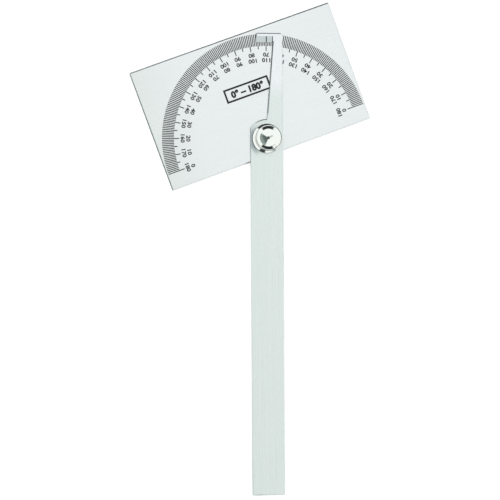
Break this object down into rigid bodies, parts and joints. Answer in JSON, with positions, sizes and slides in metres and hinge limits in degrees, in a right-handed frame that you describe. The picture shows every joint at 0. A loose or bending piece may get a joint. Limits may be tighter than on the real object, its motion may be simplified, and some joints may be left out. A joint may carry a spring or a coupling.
{
  "type": "square head protractor",
  "caption": "Flat steel drafting square with a rectangular graduated head plate and a long swinging pointer arm clamped by a round thumb nut.",
  "frame": {"origin": "on the pivot's axis, in the plane of the back face, where the stud's head is flush with the head plate", "axes": "+Z out of the scale side towards the thumb nut; the arm points along -Y and its reading foot along +Y; the head is turned 20 degrees about +Z, so that the foot reads 70 and 110"},
  "size_m": [0.1034, 0.2109, 0.0085],
  "materials": {
    "head_steel": "fine brushed along its length",
    "arm_steel": "brushed along its length",
    "plain_steel": "turned, unpolished",
    "bright_nickel": "polished",
    "black_fill": "matt black fill in the etched scale"
  },
  "bodies": {
    "head": {"head_plate": "head_steel", "pivot_stud": "plain_steel"},
    "arm": {"arm": "arm_steel"},
    "nut_lift": {"washer": "plain_steel"},
    "nut": {"thumb_nut": "bright_nickel"}
  },
  "joints": [
    {"name": "arm_swing", "type": "hinge", "parent": "head", "child": "arm", "pos_m": [0, 0, 0.0017], "axis": [0, 0, 1], "continuous": true},
    {"name": "clamp_lift", "type": "slide", "parent": "head", "child": "nut_lift", "axis": [0, 0, 1], "range_m": [0, 0.00079375]},
    {"name": "nut_turn", "type": "hinge", "parent": "nut_lift", "child": "nut", "pos_m": [0, 0, 0.005], "axis": [0, 0, 1], "range_deg": [0, 360]}
  ],
  "couplings": [
    {"joint": "clamp_lift", "follows": "nut_turn", "m_per_rad": 0.00012633}
  ]
}
